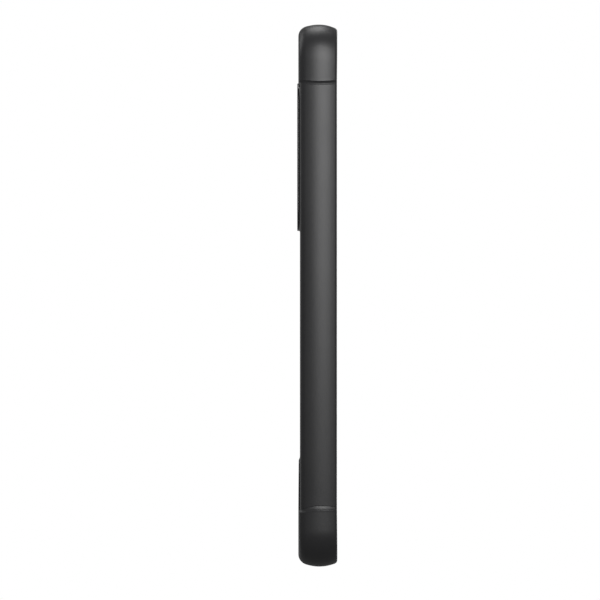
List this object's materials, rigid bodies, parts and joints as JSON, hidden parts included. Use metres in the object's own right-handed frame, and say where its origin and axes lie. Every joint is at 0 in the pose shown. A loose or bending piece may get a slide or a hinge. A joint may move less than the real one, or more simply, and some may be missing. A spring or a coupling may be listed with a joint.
{
  "type": "protective phone case",
  "caption": "Slim protective phone case with a soft inner sleeve, hard outer shell, thick end bumpers, raised camera ring and pressable side keys.",
  "frame": {"origin": "bottom centre of the case's bounding box, with the case upright", "axes": "+Z runs from the charging-port end to the top end; -Y is the screen side and +Y is the back; +X is the side with the keys"},
  "size_m": [0.0812, 0.0126, 0.169],
  "materials": {
    "soft_sleeve": "satin soft-touch elastomer",
    "soft_bumper": "satin soft-touch elastomer",
    "hard_shell": "satin moulded plastic with a fine grain",
    "ring": "polished moulded plastic",
    "grip_inlay": "fine ribbed grip texture",
    "heel_pad": "matt elastomer",
    "lining": "short brushed microfibre",
    "tape": "thin translucent adhesive film",
    "key_cap": "satin moulded plastic"
  },
  "bodies": {
    "case": {"inner_sleeve": "soft_sleeve", "microfibre_lining": "lining", "outer_shell": "hard_shell", "top_bumper": "soft_bumper", "bottom_bumper": "soft_bumper", "camera_ring": "ring", "inlay_tape": "tape", "back_inlay": "grip_inlay", "heel_pad": "heel_pad"},
    "power_key": {"power_key": "key_cap"},
    "volume_up_key": {"volume_up_key": "key_cap"},
    "volume_down_key": {"volume_down_key": "key_cap"}
  },
  "joints": [
    {"name": "power_press", "type": "slide", "parent": "case", "child": "power_key", "axis": [-1, 0, 0], "range_m": [0, 0.00025], "stiffness_N_per_m": 600},
    {"name": "volume_up_press", "type": "slide", "parent": "case", "child": "volume_up_key", "axis": [-1, 0, 0], "range_m": [0, 0.00025], "stiffness_N_per_m": 600},
    {"name": "volume_down_press", "type": "slide", "parent": "case", "child": "volume_down_key", "axis": [-1, 0, 0], "range_m": [0, 0.00025], "stiffness_N_per_m": 600}
  ]
}
